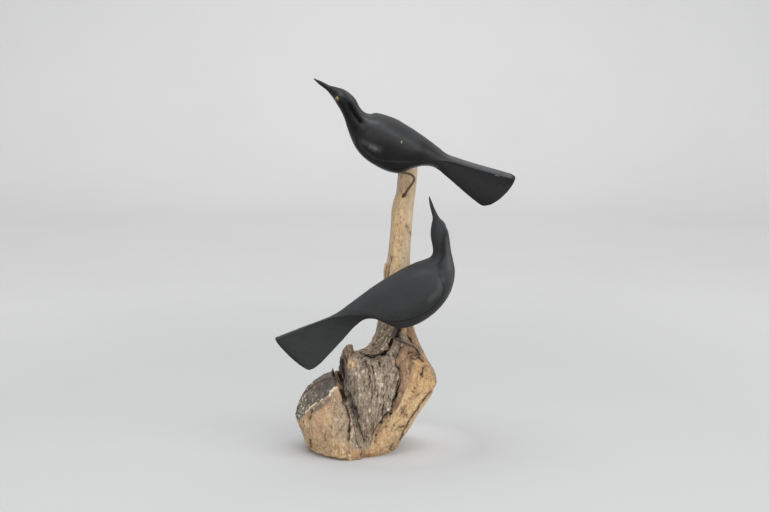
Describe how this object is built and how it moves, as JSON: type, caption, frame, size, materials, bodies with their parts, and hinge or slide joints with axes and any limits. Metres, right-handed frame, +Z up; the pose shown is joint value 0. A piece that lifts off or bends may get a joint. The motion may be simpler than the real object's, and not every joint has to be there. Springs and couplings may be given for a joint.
{
  "type": "bird carving on driftwood",
  "caption": "Folk carving of black-painted wooden birds with keeled tails and glass eyes, perched on bent wire legs on a driftwood stump with an upright stem.",
  "frame": {"origin": "middle of the stump's flat underside", "axes": "+Z up along the driftwood's stem, -Y toward the front where both birds stand, +X toward the lower bird's bill"},
  "size_m": [0.3228, 0.1435, 0.5205],
  "materials": {
    "driftwood": "weathered bare wood, grey outside and tan where it has split",
    "satin_paint": "satin black paint on carved wood, small chips",
    "matt_paint": "dull black paint on carved wood",
    "wire": "brown rusted iron wire",
    "eye_glass": "opaque yellow glass with a dark pupil"
  },
  "bodies": {
    "root": {"driftwood_base": "driftwood", "upper_blackbird": "satin_paint", "lower_blackbird": "matt_paint", "upper_left_leg": "wire", "upper_right_leg": "wire", "lower_right_leg": "wire", "lower_left_leg": "wire", "upper_left_eye": "eye_glass", "upper_right_eye": "eye_glass", "lower_right_eye": "eye_glass", "lower_left_eye": "eye_glass"}
  },
  "joints": []
}
